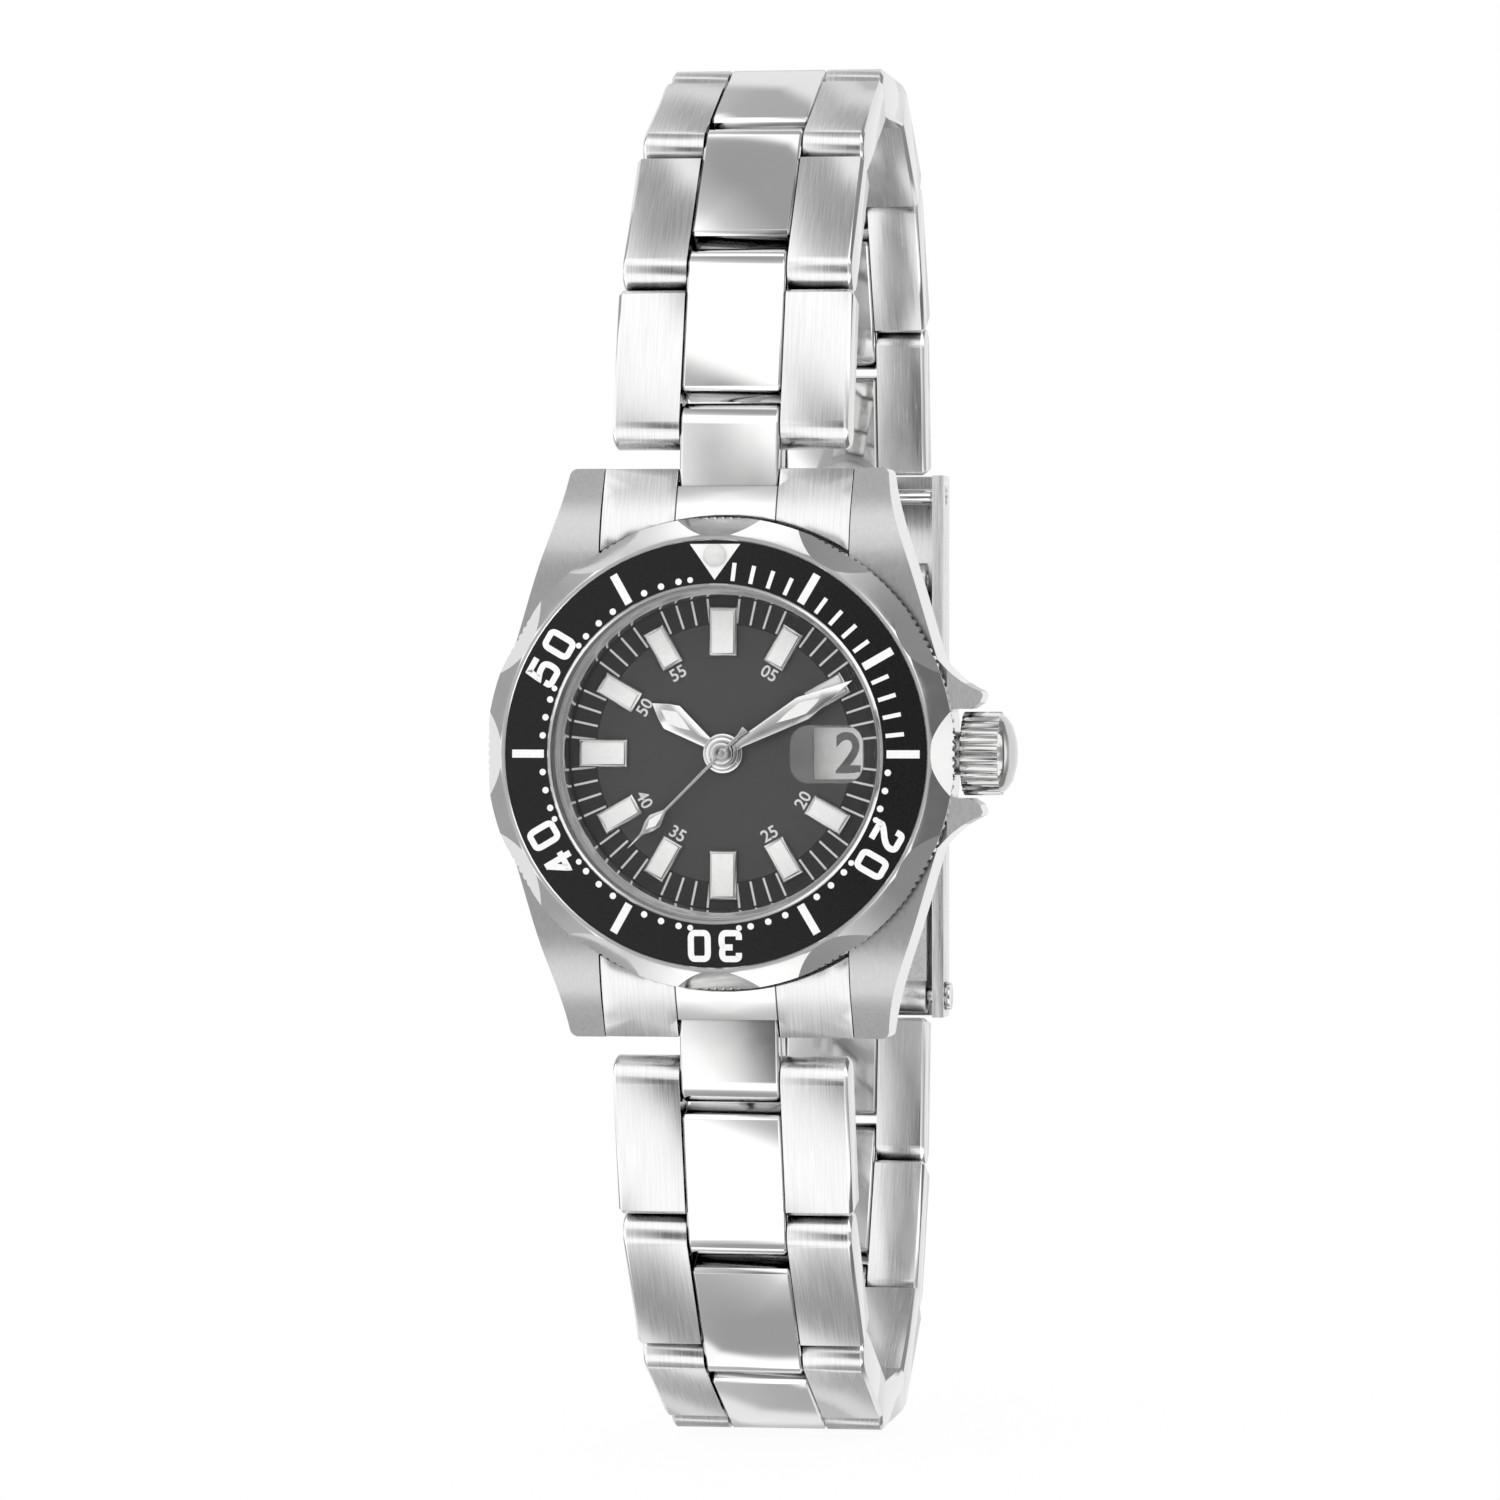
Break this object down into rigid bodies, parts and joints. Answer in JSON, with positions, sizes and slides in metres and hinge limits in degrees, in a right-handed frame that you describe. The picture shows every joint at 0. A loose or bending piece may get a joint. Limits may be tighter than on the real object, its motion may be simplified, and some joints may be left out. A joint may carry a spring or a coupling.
{
  "type": "dive watch",
  "caption": "Steel dive watch: turning scalloped bezel, date dial, screw-style crown between guards, and a three-row link bracelet closed by a folding clasp.",
  "frame": {"origin": "hands' axis at the caseback's outer face", "axes": "+Y out of the caseback, -Y out of the dial, +Z to twelve o'clock, +X to the crown"},
  "size_m": [0.029, 0.0481, 0.0782],
  "materials": {
    "steel_brushed": "brushed",
    "steel_polished": "polished",
    "insert_black": "anodised",
    "glass": "clear",
    "dial_grey": "matt lacquer",
    "lume": "semi-matt",
    "white": "printed",
    "rubber": "matt",
    "brass": "satin",
    "copper": "enamelled winding",
    "board": "lacquered",
    "black_plastic": "matt"
  },
  "bodies": {
    "head": {"case_middle": "steel_brushed", "caseback": "steel_brushed", "caseback_gasket": "rubber", "crystal": "glass", "crystal_gasket": "black_plastic", "date_magnifier": "glass", "rehaut": "steel_polished", "dial": "dial_grey", "dial_markers": "lume", "main_plate": "brass", "train_bridge": "brass", "movement_holder": "black_plastic", "battery": "steel_polished", "stator": "steel_polished", "coil": "copper", "circuit_board": "board", "crown_tube": "steel_polished", "bezel_click_spring": "steel_polished", "end_link_upper": "steel_brushed", "end_link_lower": "steel_brushed", "lug_spring_bars": "steel_polished"},
    "bezel": {"bezel_ring": "steel_polished", "bezel_insert": "insert_black", "bezel_pearl": "lume"},
    "date_ring": {"date_ring": "white"},
    "minute": {"minute_pinion": "brass", "minute_hand": "steel_polished"},
    "minute_wheel": {"minute_wheel": "brass"},
    "hour": {"hour_wheel": "brass", "hour_hand": "steel_polished"},
    "seconds": {"fourth_wheel": "brass", "second_hand": "steel_polished"},
    "third_wheel": {"third_wheel": "brass"},
    "centre_wheel": {"centre_wheel": "brass"},
    "intermediate_wheel": {"intermediate_wheel": "brass"},
    "rotor": {"rotor": "steel_polished"},
    "crown_seal": {"crown_gasket": "rubber"},
    "crown": {"crown": "steel_polished", "stem": "steel_polished"},
    "upper_first_centre": {"upper_first_centre": "steel_polished"},
    "upper_link_1": {"upper_link_1": "steel_brushed"},
    "upper_link_2": {"upper_link_2": "steel_brushed"},
    "upper_link_3": {"upper_link_3": "steel_brushed"},
    "upper_link_4": {"upper_link_4": "steel_brushed"},
    "upper_link_5": {"upper_link_5": "steel_brushed"},
    "upper_link_6": {"upper_link_6": "steel_brushed"},
    "upper_link_7": {"upper_link_7": "steel_brushed"},
    "clasp_cover": {"clasp_cover": "steel_brushed", "clasp_pins": "steel_polished"},
    "lower_first_centre": {"lower_first_centre": "steel_polished"},
    "lower_link_1": {"lower_link_1": "steel_brushed"},
    "lower_link_2": {"lower_link_2": "steel_brushed"},
    "lower_link_3": {"lower_link_3": "steel_brushed"},
    "lower_link_4": {"lower_link_4": "steel_brushed"},
    "lower_link_5": {"lower_link_5": "steel_brushed"},
    "lower_link_6": {"lower_link_6": "steel_brushed"},
    "lower_link_7": {"lower_link_7": "steel_brushed"},
    "clasp_flap": {"clasp_flap": "steel_brushed"},
    "outer_blade": {"clasp_blade_outer": "steel_brushed"},
    "inner_blade": {"clasp_blade_inner": "steel_brushed"}
  },
  "joints": [
    {"name": "bezel_turn", "type": "hinge", "parent": "head", "child": "bezel", "pos_m": [0, -0.006, 0], "axis": [0, 1, 0], "continuous": true},
    {"name": "date_turn", "type": "hinge", "parent": "head", "child": "date_ring", "pos_m": [0, -0.0042, 0], "axis": [0, 1, 0], "continuous": true},
    {"name": "minute_hand_turn", "type": "hinge", "parent": "head", "child": "minute", "pos_m": [0, -0.0054, 0], "axis": [0, 1, 0], "continuous": true},
    {"name": "minute_wheel_turn", "type": "hinge", "parent": "head", "child": "minute_wheel", "pos_m": [-0.00138, -0.0039, -0.00197], "axis": [0, 1, 0], "continuous": true},
    {"name": "hour_hand_turn", "type": "hinge", "parent": "head", "child": "hour", "pos_m": [0, -0.0051, 0], "axis": [0, 1, 0], "continuous": true},
    {"name": "second_hand_turn", "type": "hinge", "parent": "head", "child": "seconds", "pos_m": [0, -0.0057, 0], "axis": [0, 1, 0], "continuous": true},
    {"name": "third_wheel_turn", "type": "hinge", "parent": "head", "child": "third_wheel", "pos_m": [-0.00238, -0.0028, 0], "axis": [0, 1, 0], "continuous": true},
    {"name": "centre_wheel_turn", "type": "hinge", "parent": "head", "child": "centre_wheel", "pos_m": [0, -0.0032, 0], "axis": [0, 1, 0], "continuous": true},
    {"name": "intermediate_wheel_turn", "type": "hinge", "parent": "head", "child": "intermediate_wheel", "pos_m": [0, -0.0024, 0.00168], "axis": [0, 1, 0], "continuous": true},
    {"name": "rotor_turn", "type": "hinge", "parent": "head", "child": "rotor", "pos_m": [0, -0.0024, 0.00326], "axis": [0, 1, 0], "continuous": true},
    {"name": "crown_pull", "type": "slide", "parent": "head", "child": "crown_seal", "axis": [1, 0, 0], "range_m": [0, 0.001]},
    {"name": "crown_turn", "type": "hinge", "parent": "crown_seal", "child": "crown", "pos_m": [0.014, -0.00295, 0], "axis": [1, 0, 0], "continuous": true},
    {"name": "upper_unfold_0", "type": "hinge", "parent": "head", "child": "upper_first_centre", "pos_m": [0, -0.002, 0.0143], "axis": [1, 0, 0], "range_deg": [0, 5.01]},
    {"name": "upper_unfold_1", "type": "hinge", "parent": "upper_first_centre", "child": "upper_link_1", "pos_m": [0, -0.00167, 0.01809], "axis": [1, 0, 0], "range_deg": [0, 10.01]},
    {"name": "upper_unfold_2", "type": "hinge", "parent": "upper_link_1", "child": "upper_link_2", "pos_m": [0, 0.00066, 0.02678], "axis": [1, 0, 0], "range_deg": [0, 23.01]},
    {"name": "upper_unfold_3", "type": "hinge", "parent": "upper_link_2", "child": "upper_link_3", "pos_m": [0, 0.0062, 0.03387], "axis": [1, 0, 0], "range_deg": [0, 26.01]},
    {"name": "upper_unfold_4", "type": "hinge", "parent": "upper_link_3", "child": "upper_link_4", "pos_m": [0, 0.01429, 0.03782], "axis": [1, 0, 0], "range_deg": [0, 28.01]},
    {"name": "upper_unfold", "type": "hinge", "parent": "upper_link_4", "child": "upper_link_5", "pos_m": [0, 0.02329, 0.0375], "axis": [1, 0, 0], "range_deg": [0, 34]},
    {"name": "upper_unfold_6", "type": "hinge", "parent": "upper_link_5", "child": "upper_link_6", "pos_m": [0, 0.03057, 0.03221], "axis": [1, 0, 0], "range_deg": [0, 30.01]},
    {"name": "upper_unfold_7", "type": "hinge", "parent": "upper_link_6", "child": "upper_link_7", "pos_m": [0, 0.03423, 0.02399], "axis": [1, 0, 0], "range_deg": [0, 17.01]},
    {"name": "upper_unfold_8", "type": "hinge", "parent": "upper_link_7", "child": "clasp_cover", "pos_m": [0, 0.03532, 0.01506], "axis": [1, 0, 0], "range_deg": [0, 7.01]},
    {"name": "lower_unfold_0", "type": "hinge", "parent": "head", "child": "lower_first_centre", "pos_m": [0, -0.002, -0.0143], "axis": [-1, 0, 0], "range_deg": [0, 5.01]},
    {"name": "lower_unfold_1", "type": "hinge", "parent": "lower_first_centre", "child": "lower_link_1", "pos_m": [0, -0.00167, -0.01809], "axis": [-1, 0, 0], "range_deg": [0, 10.01]},
    {"name": "lower_unfold_2", "type": "hinge", "parent": "lower_link_1", "child": "lower_link_2", "pos_m": [0, 0.00066, -0.02678], "axis": [-1, 0, 0], "range_deg": [0, 23.01]},
    {"name": "lower_unfold_3", "type": "hinge", "parent": "lower_link_2", "child": "lower_link_3", "pos_m": [0, 0.0062, -0.03387], "axis": [-1, 0, 0], "range_deg": [0, 26.01]},
    {"name": "lower_unfold_4", "type": "hinge", "parent": "lower_link_3", "child": "lower_link_4", "pos_m": [0, 0.01429, -0.03782], "axis": [-1, 0, 0], "range_deg": [0, 28.01]},
    {"name": "lower_unfold", "type": "hinge", "parent": "lower_link_4", "child": "lower_link_5", "pos_m": [0, 0.02329, -0.0375], "axis": [-1, 0, 0], "range_deg": [0, 34]},
    {"name": "lower_unfold_6", "type": "hinge", "parent": "lower_link_5", "child": "lower_link_6", "pos_m": [0, 0.03057, -0.03221], "axis": [-1, 0, 0], "range_deg": [0, 30.01]},
    {"name": "lower_unfold_7", "type": "hinge", "parent": "lower_link_6", "child": "lower_link_7", "pos_m": [0, 0.03423, -0.02399], "axis": [-1, 0, 0], "range_deg": [0, 17.01]},
    {"name": "flap_hinge", "type": "hinge", "parent": "clasp_cover", "child": "clasp_flap", "pos_m": [0, 0.03827, -0.01246], "axis": [-1, 0, 0], "range_deg": [0, 110]},
    {"name": "outer_blade_hinge", "type": "hinge", "parent": "clasp_cover", "child": "outer_blade", "pos_m": [0, 0.03532, -0.01506], "axis": [1, 0, 0], "range_deg": [0, 75]},
    {"name": "inner_blade_hinge", "type": "hinge", "parent": "outer_blade", "child": "inner_blade", "pos_m": [0, 0.03532, 0.01006], "axis": [-1, 0, 0], "range_deg": [0, 75]}
  ],
  "couplings": [
    {"joint": "minute_wheel_turn", "follows": "minute_hand_turn", "ratio": -0.33333},
    {"joint": "hour_hand_turn", "follows": "minute_hand_turn", "ratio": 0.083333},
    {"joint": "third_wheel_turn", "follows": "second_hand_turn", "ratio": -0.13333},
    {"joint": "centre_wheel_turn", "follows": "second_hand_turn", "ratio": 0.016667},
    {"joint": "intermediate_wheel_turn", "follows": "second_hand_turn", "ratio": -5},
    {"joint": "rotor_turn", "follows": "second_hand_turn", "ratio": 30},
    {"joint": "upper_unfold_0", "follows": "upper_unfold", "ratio": 0.14706},
    {"joint": "upper_unfold_1", "follows": "upper_unfold", "ratio": 0.29412},
    {"joint": "upper_unfold_2", "follows": "upper_unfold", "ratio": 0.67647},
    {"joint": "upper_unfold_3", "follows": "upper_unfold", "ratio": 0.76471},
    {"joint": "upper_unfold_4", "follows": "upper_unfold", "ratio": 0.82353},
    {"joint": "upper_unfold_6", "follows": "upper_unfold", "ratio": 0.88235},
    {"joint": "upper_unfold_7", "follows": "upper_unfold", "ratio": 0.5},
    {"joint": "upper_unfold_8", "follows": "upper_unfold", "ratio": 0.20588},
    {"joint": "lower_unfold_0", "follows": "lower_unfold", "ratio": 0.14706},
    {"joint": "lower_unfold_1", "follows": "lower_unfold", "ratio": 0.29412},
    {"joint": "lower_unfold_2", "follows": "lower_unfold", "ratio": 0.67647},
    {"joint": "lower_unfold_3", "follows": "lower_unfold", "ratio": 0.76471},
    {"joint": "lower_unfold_4", "follows": "lower_unfold", "ratio": 0.82353},
    {"joint": "lower_unfold_6", "follows": "lower_unfold", "ratio": 0.88235},
    {"joint": "lower_unfold_7", "follows": "lower_unfold", "ratio": 0.5}
  ]
}
